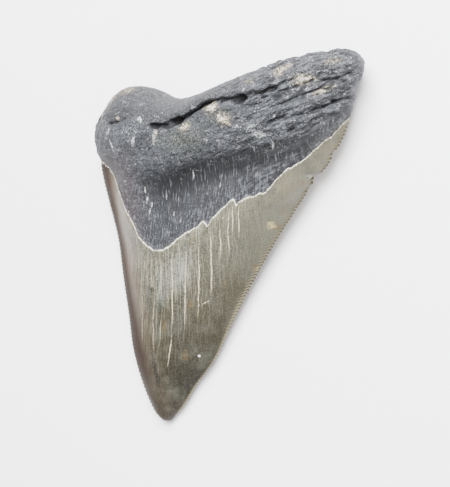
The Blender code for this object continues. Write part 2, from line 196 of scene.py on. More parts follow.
# A trench of painted shade about it on the short lobe's side, which is only colour.
TRENCH_PAINTED_SHADE, TRENCH_OFF, TRENCH_WIDTH, TRENCH_TO = 0.8, -0.001, 0.0045, 32.0
TRENCH_HILLS, TRENCH_WANDER = [(0.45, 0.9, 18)], 0.8
# The grooves' widths wander, and their floors get painted shade.
GROOVE_HILLS, GROOVE_PAINTED_SHADE = [(0.35, 1.2, 13)], 0.8
FLAKE_FLAT = 1.6
# Short grooves in the root: start, end, depth and half width.
GROOVES = [
    ((9.8, 89.4), (11.4, 89.3), 1.4, 0.7), ((17.0, 90.5), (18.6, 91.0), 1.8, 0.9),
    ((37.2, 96.4), (38.6, 96.7), 1.4, 0.9), ((46.6, 94.4), (49.6, 95.1), 0.8, 0.5),
    ((49.6, 95.1), (53.1, 97.1), 1.1, 0.6), ((53.1, 97.1), (59.0, 99.0), 0.9, 0.6),
    ((59.8, 94.4), (62.0, 95.8), 0.8, 0.45), ((62.0, 95.8), (65.2, 97.2), 1.0, 0.45),
    ((60.3, 101.6), (63.6, 101.9), 0.9, 0.5), ((63.6, 101.9), (65.6, 103.2), 0.7, 0.5),
    ((-6.4, 89.9), (-3.0, 90.5), 0.8, 0.5), ((-3.0, 90.5), (0.1, 91.3), 0.5, 0.5),
    ((50.6, 88.0), (51.8, 88.6), 0.7, 0.7), ((41.0, 93.7), (46.6, 94.4), 0.4, 0.5),
    ((54.0, 91.5), (60.0, 94.6), 0.6, 0.45), ((24.4, 67.8), (25.6, 68.6), 0.35, 0.45),
    ((22.4, 66.0), (23.2, 67.0), 0.35, 0.45), ((45.0, 90.2), (50.0, 91.6), 0.5, 0.5),
    ((38.5, 99.4), (44.6, 101.2), 0.4, 0.6), ((55.0, 87.6), (61.5, 92.4), 0.5, 0.5),
]
# Dark fields of the root. The band ends between these rows and starts between these x.
BAND_ENDS, BAND_STARTS = (FOOT_ROW - 0.005, FOOT_ROW + 0.035), (-4, 4)
# The shade under the torus: its row, its reach up and down, where it narrows, starts and weakens.
UNDER_ROW, UNDER_UP, UNDER_DOWN, UNDER_NARROWING = FOOT_ROW + 0.008, 0.036, 0.017, 0.007
UNDER_NARROWS, UNDER_STARTS, UNDER_WEAKENS, UNDER_LOSS = (16, 34), (2, 14), (44, 60), 0.35
BASE_DARK_BY, BASE_LOSS = FURROW_ROW + 0.03, 0.7
# Flakes lost from the enamel: place, depth and half width.
FLAKES = [((51.9, 75.2), 0.45, 1.3), ((40.2, 60.9), 0.18, 1.2), ((32.6, 48.9), 0.12, 0.9)]

# Cream mineral on the root: place, half length, half width, lean in degrees and strength.
CREAM = [
    ((55.5, 101.7), 3.2, 1.5, 8, 0.85), ((60.3, 99.1), 2.6, 0.9, 30, 0.9),
    ((49.1, 104.5), 3.0, 1.4, 25, 0.7), ((29.5, 94.4), 2.2, 1.6, 10, 0.95),
    ((33.3, 91.3), 2.3, 1.5, -35, 0.95), ((21.0, 89.1), 1.8, 1.1, 30, 0.9),
    ((-5.0, 99.7), 3.6, 0.9, -5, 0.5), ((-9.6, 96.5), 4.0, 1.0, 52, 0.6),
    ((-12.0, 92.2), 1.6, 0.9, 60, 0.7), ((11.4, 86.9), 2.6, 0.5, 78, 0.75),
    ((-3.0, 91.5), 1.4, 0.7, -40, 0.6), ((62.5, 106.5), 3.0, 1.0, 10, 0.45),
    ((40.0, 101.5), 2.4, 0.8, 20, 0.4),
]
# Cracks in the enamel, which run from its edge towards the tip: start, end, half width and strength.
CRACKS = [
    ((25.4, 62.3), (20.5, 38.7), 0.29, 1.0), ((20.7, 38.9), (18.0, 37.5), 0.22, 0.8),
    ((21.3, 58.0), (15.9, 32.4), 0.26, 0.9), ((17.4, 56.6), (11.4, 28.3), 0.25, 0.85),
    ((12.7, 54.8), (7.9, 28.2), 0.26, 0.95), ((8.0, 28.6), (5.0, 17.6), 0.24, 0.9),
    ((27.7, 62.2), (25.6, 51.5), 0.23, 0.85), ((30.6, 66.0), (28.0, 53.0), 0.24, 0.9),
    ((32.1, 67.9), (30.2, 58.0), 0.22, 0.8), ((33.7, 67.4), (31.8, 57.6), 0.23, 0.85),
    ((3.3, 38.5), (0.7, 21.2), 0.20, 0.6), ((-0.2, 43.5), (-3.6, 23.2), 0.19, 0.6),
    ((5.0, 32.5), (3.8, 25.6), 0.20, 0.65), ((8.7, 54.0), (6.0, 38.0), 0.21, 0.65),
    ((5.4, 53.5), (3.0, 41.5), 0.18, 0.55), ((0.2, 49.0), (-1.6, 38.0), 0.17, 0.5),
]
# Dark and coloured stains in the enamel: place, half length, half width, lean and strength.
DARK_STAINS = [
    ((2.9, 41.3), 1.7, 0.8, 78, 1.0), ((0.6, 16.0), 8.0, 0.75, 95, 1.0), ((11.5, 51.7), 1.4, 0.6, 78, 0.9),
    ((0.7, 19.2), 0.9, 0.5, 80, 0.8), ((3.6, 46.5), 3.0, 0.40, 80, 0.7), ((12.5, 47.5), 3.5, 0.45, 79, 0.6),
    ((8.9, 47.0), 3.0, 0.4, 79, 0.6), ((5.2, 36.0), 2.5, 0.4, 79, 0.6), ((17.6, 53.4), 1.2, 0.4, 80, 0.6),
]
# The broad pale blue-grey patches below the enamel's V are a painted sheen; the one on the flake is a stain.
BLUE_STAINS_AND_SHEEN = [
    ((13.6, 48.0), 9.0, 5.0, 65, 0.85), ((51.9, 75.2), 1.5, 1.1, 30, 1.0), ((7.0, 43.0), 8.0, 3.6, 78, 0.7),
]
OCHRE_STAINS = [
    ((10.5, 21.3), 2.2, 1.4, 70, 0.6), ((14.9, 37.6), 2.6, 1.2, 75, 0.6), ((50.2, 73.4), 1.6, 0.6, 40, 0.9),
    ((40.6, 60.6), 2.0, 1.2, 60, 0.9), ((5.5, 30.0), 3.0, 0.8, 80, 0.6), ((25.0, 44.0), 2.2, 0.9, 80, 0.3),
    ((33.2, 48.6), 1.8, 0.9, 60, 1.0), ((43.9, 66.0), 2.4, 0.8, 57, 0.6), ((19.4, 57.0), 2.0, 1.0, 60, 0.6),
]
CREAM_STAINS = [
    ((39.7, 61.4), 1.5, 1.1, 40, 1.0), ((33.4, 48.4), 0.9, 0.5, 60, 0.7), ((28.6, 63.4), 0.8, 0.4, 80, 0.8),
]
# One small round grain of white mineral near the tip.
WHITE_GRAIN = [((14.2, 21.3), 0.38, 0.38, 0.0, 1.0)]
# White dashes of mineral on the root: place, half length, half width, lean and strength.
WHITE_DASHES = [
    ((3.8, 70.9), 1.3, 0.28, 80, 0.9), ((3.9, 67.9), 1.3, 0.30, 80, 1.0), ((4.7, 64.5), 1.4, 0.26, 80, 0.8),
    ((5.4, 66.6), 0.9, 0.25, 80, 0.8), ((13.0, 64.2), 0.8, 0.22, 80, 0.7), ((15.4, 62.5), 0.9, 0.22, 80, 0.7),
    ((10.5, 69.0), 0.9, 0.24, 80, 0.7), ((20.1, 75.6), 1.6, 0.28, 80, 0.7),
    ((28.2, 72.8), 1.0, 0.24, 80, 0.6), ((10.9, 86.4), 2.8, 0.6, 78, 0.9),
    ((-5.9, 83.4), 2.6, 0.5, 102, 0.8), ((3.1, 85.0), 2.0, 0.7, 70, 0.8),
    ((-6.8, 87.9), 1.6, 0.6, 50, 0.8), ((5.6, 91.3), 1.3, 0.7, 130, 1.0),
    ((45.2, 84.3), 1.6, 0.36, 80, 0.8), ((42.6, 87.0), 1.9, 1.3, 10, 0.6),
    ((39.8, 83.2), 0.8, 0.3, 80, 0.8), ((41.0, 89.0), 1.6, 0.9, 30, 0.45),
]
# Soft fields on the root: halos of pale mineral, olive stains and rust on the short lobe's rim.
HALOS = [
    ((3.5, 89.2), 6.5, 3.4, 17.2, 0.95), ((-3.5, 85.0), 5.0, 3.0, 68.8, 0.6),
    ((45.0, 87.5), 5.0, 2.2, 11.5, 0.5),
]
OLIVE_STAINS = [((20.5, 85.8), 10.0, 5.0, 8.6, 1.0), ((32.0, 92.5), 6.0, 3.0, 11.5, 0.8)]
RUST_STAINS = [
    ((-5.0, 99.9), 4.6, 2.2, 5.7, 1.0), ((-9.5, 98.0), 5.0, 2.0, 40.1, 1.0),
    ((-18.0, 87.0), 6.0, 1.6, 91.7, 0.7),
]
# A crack's mark is this much of its width, and longer by this at each end. Marks are tall columns.
CRACK_SLIM, CRACK_SPARE, MARK_HEIGHT = 0.7, 0.3, 1e4
# The enamel's growth lines and cracks lean from the tooth's y by this angle.
CRACK_LEAN = np.radians(11.5)

# Noise of the materials: cells a millimetre, further octaves and their share.
ENAMEL_NOISE = {
    "cloud": (0.16, 4.0, 0.62), "speck": (2.0, 2.0, 0.5), "mottle": (2.4, 3.0, 0.7),
    "breaks": (1.9, 2.0, 0.5),
}
DENTINE_NOISE = {
    "cloud": (0.14, 4.0, 0.6), "grit": (2.0, 3.0, 0.75), "smear": (0.8, 4.0, 0.7),
    "dots": (2.7, 2.0, 0.5), "tint": (0.45, 3.0, 0.6),
}
# Noise that pushes places about: the same three numbers, and its swing in millimetres.
BEND, TEAR = (0.25, 1.0, 0.5, 0.7), (0.9, 3.0, 0.7, 4.0)
# Noise drawn out along a turned grid: frame, turn, size of a cell in millimetres, octaves and share.
# Prism bundles are a few hundredths of a millimetre wide: these are 0.24 and 1.1 mm, to show.
ENAMEL_STREAKS = {
    "thin": ("bent", -CRACK_LEAN, (0.24, 6.5, 9), 2.0, 0.6),
    "thick": ("bent", -CRACK_LEAN, (1.1, 22, 22), 2.0, 0.5),
    "short": ("mm", -CRACK_LEAN, (0.5, 1.0, 1.0), 2.0, 0.6),
}
# Striae of the band are 0.2 to 0.4 mm apart: these are 0.42 mm, to show.
DENTINE_STREAKS = {
    "lines": ("mm", -np.radians(7), (0.42, 3.6, 6), 2.0, 0.6),
    "strips": ("mm", RIDGE_SLANT + np.radians(4), (4, 0.7, 2), 3.0, 0.7),
}

# Sums of fields: name, first field, then (field, weight) terms.
# slope grows from the upper short side to the long side, and inward in from the short side's edge.
ENAMEL_SUMS = [
    ("height", "y", ("cloud", 16.0)), ("slope", "x", ("y", -0.62)), ("inward", "x", ("y", 0.173)),
    ("off_tick", "edge", ("tick", -1.0)),
]
# Masks: name, field, where it starts and ends, its values there, and the gates that it is times.
# Smooth ones: streaks are strongest high on the short side, whose flank gets painted shade. Chalk is high up.
ENAMEL_FADES = [
    ("upper", "y", 14.0, 50.0, 0.2, 1.0),
    ("streaky", "slope", -24.0, 4.0, 1.0, 0.12, "upper"),
    # The short side's upper part is warmer: partly the enamel's own brown, partly a painted warm reflection.
    ("warm_tone_and_reflection", "inward", 1.0, 9.5, 0.75, 0.0, "upper"),
    ("from_tip", "y", 2.0, 22.0, 0.3, 1.0),
    # Painted shade on the short side's flank, less near the tip.
    ("flank_painted_shade", "inward", -1.6, 3.4, 0.95, 0.0, "from_tip"),
    ("chalky", "y", 24.0, 50.0, 0.1, 0.48),
]
ENAMEL_MASKS = [
    ("up_crown", "height", 6.0, 78.0, 0.0, 1.0),
    ("veil", "cloud", 0.46, 0.66, 0.0, 0.7),
    ("pale", "thin", 0.53, 0.64, 0.0, 0.75, "streaky"),
    ("dark", "thin", 0.47, 0.36, 0.0, 0.68, "streaky"),
    ("ochre", "thick", 0.54, 0.70, 0.0, 0.4, "streaky"),
    ("blue", "thick", 0.46, 0.30, 0.0, 0.7, "streaky"),
    ("pale_mottle", "mottle", 0.50, 0.64, 0.0, 0.12),
    ("dark_mottle", "mottle", 0.48, 0.34, 0.0, 0.14),
    ("chalk", "mottle", 0.50, 0.62, 0.0, "chalky", "streaky"),
    ("flecks", "short", 0.39, 0.30, 0.0, 0.85, "streaky"),
    ("ragged", "speck", 0.36, 0.54, 0.25, 1.0),
    ("stripes", "thin", 0.42, 0.58, 0.35, 1.0),
    ("broken", "breaks", 0.38, 0.54, 0.15, 1.0),
    ("rim_width", "speck", 0.35, 0.65, 0.10, 0.62),
    ("tan", "edge", 0.0, 2.0, 0.0, 1.1),
    ("lower", "y", 44.0, 26.0, 0.0, 1.0),
    ("worn", "edge", 0.55, 0.90, 0.0, 0.7, "lower"),
    ("serration", "tick", 0.30, 0.85, 0.0, 0.75),
    ("gap", "off_tick", 0.30, 0.75, 0.0, 0.75),
    ("polish", "cloud", 0.3, 0.7, 0.36, 0.50),
]
# Masks of marks: name, marks, frame, how far in from the rim a mark is full, and gates.
ENAMEL_MARKS = [
    ("blue_stain_and_sheen", BLUE_STAINS_AND_SHEEN, "torn", 1.0, "ragged", "front", "stripes"),
    ("ochre_stain", OCHRE_STAINS, "torn", 0.9, "ragged", "front"),
    ("dark_stain", DARK_STAINS, "torn", 0.8, "ragged", "front"),
    ("cream_stain", CREAM_STAINS, "torn", 0.8, "ragged", "front"),
    ("grain", WHITE_GRAIN, "mm", 0.35, "front"),
]
# The ground's colours: up the crown the tip is dark and brownish, the top cream. The darkening to
# the tip is partly the enamel's own tone and partly painted shade.
ENAMEL_GROUND = [
    (0.0, "#161612"), (0.16, "#1c1b15"), (0.40, "#27251c"), (0.62, "#37352a"), (0.85, "#515042"),
    (1.0, "#5a5748"),
]
RIM_SOFT, RIM_COLOURS = 0.14, ("#8d7f62", "#d6cfbb")
# Colours laid over the ground, from the lowest up: mask and colour, or a colour field's name.
# The flank's colour is painted shade, the warm and blue-grey patches partly painted reflection and sheen.
ENAMEL_LAYERS = [
    ("veil", "#3d3d35"), ("ochre", "#4d4430"), ("blue", "#33373a"), ("blue_stain_and_sheen", "#90958c"),
    ("dark", "#24251f"), ("pale", "#8f8a76"), ("pale_mottle", "#807b68"), ("chalk", "#94917f"),
    ("dark_mottle", "#1c1b17"), ("flecks", "#171a1f"), ("warm_tone_and_reflection", "#544334"), ("flank_painted_shade", "#25180f"),
    ("ochre_stain", "#574629"), ("dark_stain", "#0f1114"), ("tan", "#4d4838"), ("gap", "#15120e"),
    ("serration", "#8a8268"), ("worn", "#857c62"), ("cream_stain", "#a09264"), ("grain", "#f0eee4"),
    ("crack", "#bfb699"), ("rim", "bare"),
]

# The same for the dentine. Pale dots are common on the long lobe and where smear and tint are high.
LOBE_FADE = [("on_lobe", "x", 24.0, 44.0, 0.0, 1.0)]
DENTINE_SUMS = [
    ("high", "z", ("smear", 12.0)),
    ("dotty", "dots", ("on_lobe", 0.04), ("smear", 0.62), ("tint", 0.65), ("under", 0.02)),
    # Grit breaks up the painted shade under the torus and on the furrows' floors.
    ("torus_foot_shade_grit", "under", ("grit", 1.5)),
    ("floor_shade_grit", "hollow", ("grit", 1.5)),
]
DENTINE_FADES = [
    ("below", "y", 86.0, 76.0, 0.0, 0.8),
    ("purple", "x", 5.0, -4.0, 0.0, 1.0, "below"),
    ("on_top", "high", 17.0, 25.0, 0.0, 1.0),
]
DENTINE_MASKS = [
    ("violet", "tint", 0.50, 0.66, 0.0, 0.55),
    ("blue", "tint", 0.46, 0.34, 0.0, 0.55),
    ("dark_base", "base", 0.0, 1.0, 0.0, 0.9),
    ("blotch", "smear", 0.48, 0.38, 0.0, 0.7, "base"),
    ("dark_band", "band", 0.0, 1.0, 0.0, 0.95),
    ("no_band", "band", 0.0, 1.0, 1.0, 0.0),
    ("broken", "grit", 0.42, 0.60, 0.0, 1.0),
    ("dark_grit", "grit", 0.49, 0.38, 0.0, 0.9),
    ("pale_grit", "grit", 0.54, 0.64, 0.0, 0.7),
    ("dark_strip", "strips", 0.49, 0.37, 0.0, 0.9, "on_lobe"),
    ("pale_strip", "strips", 0.52, 0.64, 0.0, 0.7, "on_lobe"),
    # Painted shade under the torus, broken by the grit.
    ("torus_foot_shade", "torus_foot_shade_grit", 0.85, 1.50, 0.0, 0.95),
    ("between_lines", "lines", 0.48, 0.34, 0.0, 0.8, "band"),
    ("smeared", "smear", 0.40, 0.58, 0.3, 1.0),
    ("line", "lines", 0.56, 0.67, 0.0, 0.52, "band", "smeared"),
    ("pits", "dots", 0.45, 0.35, 0.0, 0.95, "no_band"),
    ("pale_dots", "dotty", 1.325, 1.425, 0.0, 0.8, "no_band"),
    # Painted shade on the floors of the furrow, the grooves and the valleys, broken by the grit.
    ("floor", "floor_shade_grit", 1.08, 1.42, 0.0, 1.0),
    ("near_cream", "cream", 0.04, 0.4, 0.0, 1.0),
    ("coarse_crumb", "smear", 0.35, 0.65, -0.30, 0.30),
    ("fine_crumb", "grit", 0.35, 0.65, -0.5, 0.5),
    ("rough", "grit", 0.3, 0.7, 0.52, 0.78),
]
# Cream mineral lies thin and granular: tan at its rim, paler in the middle of a patch.
PATCH_SUM = [("crumbs", "cream", ("coarse_crumb", 1.0), ("fine_crumb", 1.0))]
PATCH_FADE = [("patch", "crumbs", 0.22, 0.62, 0.0, 0.92, "near_cream")]
PATCH_MASK = [("paler", "crumbs", 0.5, 1.4, 0.0, 1.0)]
DENTINE_MARKS = [
    ("olive", OLIVE_STAINS, "mm", 0.8, "broken"),
    ("rust", RUST_STAINS, "mm", 0.8, "broken", "on_top"),
    ("halo", HALOS, "mm", 1.0, "broken"),
    ("dash", WHITE_DASHES, "mm", 0.5, "broken", "front"),
]
DENTINE_GROUND = [(0.34, "#222427"), (0.45, "#303235"), (0.55, "#37393d"), (0.66, "#44464a")]
CREAM_COLOURS = ("#5f5440", "#d8d2bf")
# Two of these are painted shade: the dark under the torus and on the furrows' floors.
DENTINE_LAYERS = [
    ("violet", "#302a2e"), ("blue", "#2a2e34"), ("dark_base", "#151518"), ("blotch", "#0f0f12"),
    ("dark_band", "#18191d"), ("purple", "#3a3033"), ("olive", "#3b4030"), ("rust", "#7c6644"),
    ("halo", "#6b6e72"), ("dark_grit", "#0f1012"), ("pale_grit", "#626467"), ("dark_strip", "#101114"),
    ("pale_strip", "#5c5e62"), ("torus_foot_shade", "#0b0c0e"), ("between_lines", "#0a0b0c"), ("line", "#696c71"),
    ("pits", "#08090a"), ("pale_dots", "#989b9d"), ("dash", "#c0c2c0"), ("patch", "mineral"),
    ("floor", "#0c0d10"),
]

# The table, the view and the light, in metres and watts.
TABLE_HALF, TABLE_TOP, TABLE_COLOUR = 6.0, -0.00005, "#f4f3f4"
VIEW_TURN, VIEW_TIP = np.radians(30), np.radians(5)
VIEW_TARGET, VIEW_AWAY, VIEW_NEAREST = (-0.00012, 0.00047, 0.008), 0.4, 0.01
SENSOR_HEIGHT, LENS = 36.0, 101.96
# Lights: name, place, target, size, power and colour.
LIGHTS = [
    ("window_light", (0.16, 0.52, 0.68), (0, 0.01, 0), 0.6, 55.0, "#fbfcff"),
    ("ceiling_light", (0.40, -0.10, 0.85), (0, 0, 0), 0.9, 8.0, "#fffaf5"),
]
ROOM_COLOUR, ROOM_STRENGTH = "#f6f7fa", 0.6

# For scatter: factors for a cell's numbers, and how far a seed moves the cells.
CELL_FACTORS, CELL_SPREAD = (12.9898, 78.233, 37.719), 43758.5453
LUMPS_X_SHIFT, LUMPS_Y_SHIFT, HILLS_SHIFT = 17.3, 5.1, 13.7


def hermite(start, end, leave, arrive, part):
    """The cubic from start to end with the given slopes there, part of the way along."""
    bend = 2 * (start - end) + leave + arrive
    return start + part * (leave + part * (3 * (end - start) - 2 * leave - arrive + part * bend))


def curve_through(points, part):
    """A smooth curve through the points, at a part of its length: a cubic in each gap."""
    points = np.asarray(points, float)
    length = np.concatenate([[0], np.cumsum(np.hypot(*np.diff(points, axis=0).T))])
    length = length / length[-1]
    slope = np.stack([np.gradient(points[:, k], length) for k in (0, 1)], axis=1)
    part = np.clip(part, 0, 1)
    k = np.clip(np.searchsorted(length, part, side="right") - 1, 0, len(points) - 2)
    gap = (length[k + 1] - length[k])[..., None]
    t = (part - length[k])[..., None] / gap
    return hermite(points[k], points[k + 1], slope[k] * gap, slope[k + 1] * gap, t)


def line_at(points, x):
    """A smooth line through (x, value) points, at x: a cubic in each gap."""
    xs, values = np.array(points, float).T
    slope = np.gradient(values, xs)
    x = np.clip(x, xs[0], xs[-1])
    k = np.clip(np.searchsorted(xs, x, side="right") - 1, 0, len(xs) - 2)
    gap = xs[k + 1] - xs[k]
    return hermite(values[k], values[k + 1], slope[k] * gap, slope[k + 1] * gap, (x - xs[k]) / gap)


def ramp(x, start, end):
    """0 below start, 1 above end, and 3 t squared less 2 t cubed between."""
    t = np.clip((x - start) / (end - start), 0, 1)
    return t * t * (3 - 2 * t)


def between(x, start, end, fade):
    """1 between start and end, with a smooth fade inside each."""
    return ramp(x, start, start + fade) * (1 - ramp(x, end - fade, end))


def bump(x, middle, width):
    """A bell of height 1: e to the power of minus the distance in widths, squared."""
    return np.exp(-(((x - middle) / width) ** 2))


def scatter(*cells):
    """A number from -1 to 1 for each cell, from the fraction of a large sine."""
    spread = np.sin(sum(c * k for c, k in zip(cells, CELL_FACTORS))) * CELL_SPREAD
    return 2 * (spread - np.floor(spread)) - 1


def lumps(x, y, size, seed):
    """Smooth random hills in plan: random heights at grid corners, blended by ramp."""
    x, y = x / size + LUMPS_X_SHIFT * seed, y / size + LUMPS_Y_SHIFT * seed
    column, row = np.floor(x), np.floor(y)
    fx, fy = ramp(x - column, 0, 1), ramp(y - row, 0, 1)
    low = scatter(column, row) * (1 - fx) + scatter(column + 1, row) * fx
    high = scatter(column, row + 1) * (1 - fx) + scatter(column + 1, row + 1) * fx
    return low * (1 - fy) + high * fy


def hills(points, size, seed):
    """The same in space: random heights at the 8 corners of a cell, blended by ramp."""
    scaled = points / np.asarray(size, float) + HILLS_SHIFT * seed
    cell = np.floor(scaled)
    part = ramp(scaled - cell, 0, 1)
    total = 0
    for corner in np.ndindex(2, 2, 2):
        weight = np.prod(np.where(corner, part, 1 - part), axis=-1)
        total = total + weight * scatter(*np.moveaxis(cell + corner, -1, 0))
    return total


def hill_sum(points, rows):
    """The sum of several hills, each times its height."""
    return sum(height * hills(points, size, seed) for height, size, seed in rows)


def side_points(v):
    """Where the row at v meets the short side and the long side."""
    short = curve_through(SHORT_SIDE, np.interp(v, KEY_ROWS, SHORT_SIDE_AT))
    long = curve_through(LONG_SIDE, np.interp(v, KEY_ROWS, LONG_SIDE_AT))
    return short, long


def smoothed(offset, u):
    """A line's offsets from its chord, averaged along u by a bell.

    The offsets are taken as odd about both ends, so that the ends stay put.
    """
    fine = np.linspace(0, 1, KINK_STEPS)
    values = offset(fine)
    places = np.concatenate([-fine[:0:-1], fine, 2 - fine[-2::-1]])
    values = np.concatenate([-values[:0:-1], values, -values[-2::-1]])
    weights = bump(fine[:, None], places, KINK_WIDTH)
    means = weights @ values / weights.sum(axis=1, keepdims=True)
    return np.stack([np.interp(u, fine, means[:, k]) for k in (0, 1)], axis=-1)


def plan(u, v, lines):
    """x and y of (u, v): straight rows from side to side, bent to follow the lines given for key rows.

    Far down the crown the rows follow only the enamel line's sweep, and its kinks only close to it.
    """
    across = u[..., None]
    short, long = side_points(v)
    rows, offsets = [0.0], [0.0 * across]
    for row, line in lines:
        start, end = side_points(row)
        begin, finish = side_points(np.full_like(u, row))
        along = curve_through(line, u) - (line[0] - start) * (1 - across) - (line[-1] - end) * across
        rows.append(row)
        offsets.append(along - begin * (1 - across) - finish * across)
    place = np.interp(v, rows, np.arange(len(rows)))
    place = np.where(place < 1, place**2, place)
    weights = [np.clip(1 - np.abs(place - k), 0, 1)[..., None] for k in range(len(rows))]
    line = lines[0][1]

    def bend(u):
        across = u[:, None]
        return curve_through(line, u) - line[0] * (1 - across) - line[-1] * across

    kinks = bend(u.ravel()).reshape(*u.shape, 2) - smoothed(bend, u)
    far = np.clip(place, 0, 1) - ramp(v, ENAMEL_ROW - KINK_REACH, ENAMEL_ROW)
    point = short * (1 - across) + long * across + sum(w * o for w, o in zip(weights, offsets))
    point = point - np.where(v < ENAMEL_ROW, far, 0)[..., None] * kinks
    return point[..., 0], point[..., 1]


def edge_height(v):
    """The cutting edges' height, which grows evenly along v."""
    return TIP_EDGE_HEIGHT + (BASE_EDGE_HEIGHT - TIP_EDGE_HEIGHT) * v


def section(u, v, ridge, crown, root):
    """A section's height: (1 - s ** power) ** roundness, where s is 0 on the ridge and 1 at the edges."""
    s = 2 * u - 1
    s = np.where(s < ridge, (ridge - s) / (1 + ridge), (s - ridge) / (1 - ridge))
    rooted = ramp(v, ROOT_SECTION_FROM, ROOT_SECTION_BY)
    on_long = ramp(u, *SIDES_BLEND)
    power, roundness = (
        (short * (1 - on_long) + long * on_long) * (1 - rooted) + base * rooted
        for short, long, base in zip(*crown, root)
    )
    return np.clip(1 - np.abs(s) ** power, 0, 1) ** roundness


def rounded_end(v):
    """1 up to the furrow's row, then a quarter ellipse down to 0 at the root's base."""
    t = np.clip((v - FURROW_ROW) / (BASE_ROW - FURROW_ROW), 0, 1)
    return np.sqrt(1 - t * t)


def lingual_point(u, v):
    """The domed face: the edge's height, plus the rise along v less the furrows, times the section."""
    lines = [(ENAMEL_ROW, ENAMEL_LINE), (FOOT_ROW, TORUS_FOOT), (FURROW_ROW, FURROW)]
    x, y = plan(u, v, lines + [(BASE_ROW, ROOT_BASE)])
    inside = ramp(u, 0, RAGGED_INSIDE) * ramp(u, 1, 1 - RAGGED_INSIDE)
    ragged = sum(share * lumps(x, x, size, seed) for share, size, seed in RAGGED_LUMPS)
    y = y + RAGGED * inside * bump(v, ENAMEL_ROW, RAGGED_REACH) * ragged
    step_end = ENAMEL_ROW + STEP_WIDTH
    on_torus = ramp(v, FOOT_ROW, FOOT_ROW + TORUS_SWELL)
    rise = line_at(LINGUAL_RISE, v) - ENAMEL_STEP * ramp(v, ENAMEL_ROW, step_end)
    lobe = (1 - ramp(x, LOBE_FROM, LOBE_TO)) * ramp(v, step_end, FOOT_ROW) * (1 - on_torus)
    rise = rise + LOBE_FULLNESS * lobe
    corner_x, corner_y = CORNER_PLACE
    rise = rise - CORNER_DROP * bump(x, corner_x, CORNER_WIDTH) * bump(y, corner_y, CORNER_WIDTH)
    furrow = bump(v, FURROW_ROW, np.where(v > FURROW_ROW, FURROW_ABOVE, FURROW_BELOW))
    rise = rise - FURROW_DEPTH * furrow * between(x, FURROW_FROM, FURROW_TO, FURROW_FADE)
    for row, start, end, depth in SIDE_FURROWS:
        groove = bump(v, row, SIDE_FURROW_WIDTH) * between(x, start, end, SIDE_FURROW_FADE)
        rise = rise - depth * groove
    rise = rise + HILL_HEIGHT * on_torus * lumps(x, y, HILL_SIZE, 1)
    along = np.cos(RIDGE_SLANT) * x + np.sin(RIDGE_SLANT) * y
    over = np.cos(RIDGE_SLANT) * y - np.sin(RIDGE_SLANT) * x
    ridges = lumps(along, RIDGE_CROWDING * over, RIDGE_LENGTH, 2)
    rise = rise + RIDGE_HEIGHT * on_torus * ramp(x, RIDGES_FROM, RIDGES_BY) * ridges
    profile = section(u, v, LINGUAL_RIDGE, LINGUAL_CROWN, LINGUAL_ROOT)
    return np.stack([x, y, edge_height(v) + rise * profile * rounded_end(v)], axis=-1)


def labial_point(u, v):
    """The flat face: the edge's height, less its depth down to the table times the section."""
    x, y = plan(u, v, [(ENAMEL_ROW, LABIAL_ENAMEL_LINE), (BASE_ROW, ROOT_BASE)])
    lift = WAIST_LIFT * bump(y, WAIST_Y, WAIST_WIDTH) - FLAT_SINK
    lift = lift - LOBE_SINK * ramp(v, LOBE_SINK_FROM, LOBE_SINK_BY)
    notch_x, notch_y = NOTCH_PLACE
    lift = lift + NOTCH_HOLLOW * bump(x, notch_x, NOTCH_WIDTH) * bump(y, notch_y, NOTCH_WIDTH)
    step = ramp(v, ENAMEL_ROW, ENAMEL_ROW + STEP_WIDTH)
    lift = lift + ENAMEL_STEP * step * (1 - ramp(v, LABIAL_STEP_FADE_FROM, LABIAL_STEP_FADE_BY))
    profile = section(u, v, LABIAL_RIDGE, LABIAL_CROWN, LABIAL_ROOT)
    profile = profile * rounded_end(v) * ramp(v, 0, TIP_FLAT_BY)
    height = np.maximum(edge_height(v) - (edge_height(v) - lift) * profile, 0)
    return np.stack([x, y, height], axis=-1)


def row_places():
    """v of each row: even in the crown, so that serrations are even, then even between key rows."""
    stops = [0.0, ENAMEL_ROW, ENAMEL_ROW + STEP_WIDTH, FOOT_ROW, FURROW_ROW]
    counts = [LONG_SERRATIONS * ROWS_A_LONG, STEP_ROWS, BOURLETTE_ROWS, TORUS_ROWS]
    rows = [
        start + (end - start) * np.arange(count) / count
        for start, end, count in zip(stops, stops[1:], counts)
    ]
    turn = np.arange(BASE_ROWS + 1) / BASE_ROWS
    eased = (1 - BASE_EASE) * turn + BASE_EASE * np.sin(turn * np.pi / 2)
    return np.concatenate([*rows, FURROW_ROW + (BASE_ROW - FURROW_ROW) * eased])


def column_places():
    """u of each column, closer towards the cutting edges."""
    turn = np.arange(LINGUAL_COLUMNS + 1) / LINGUAL_COLUMNS
    return (1 - COLUMN_EASE) * turn + COLUMN_EASE * (1 - np.cos(turn * np.pi)) / 2


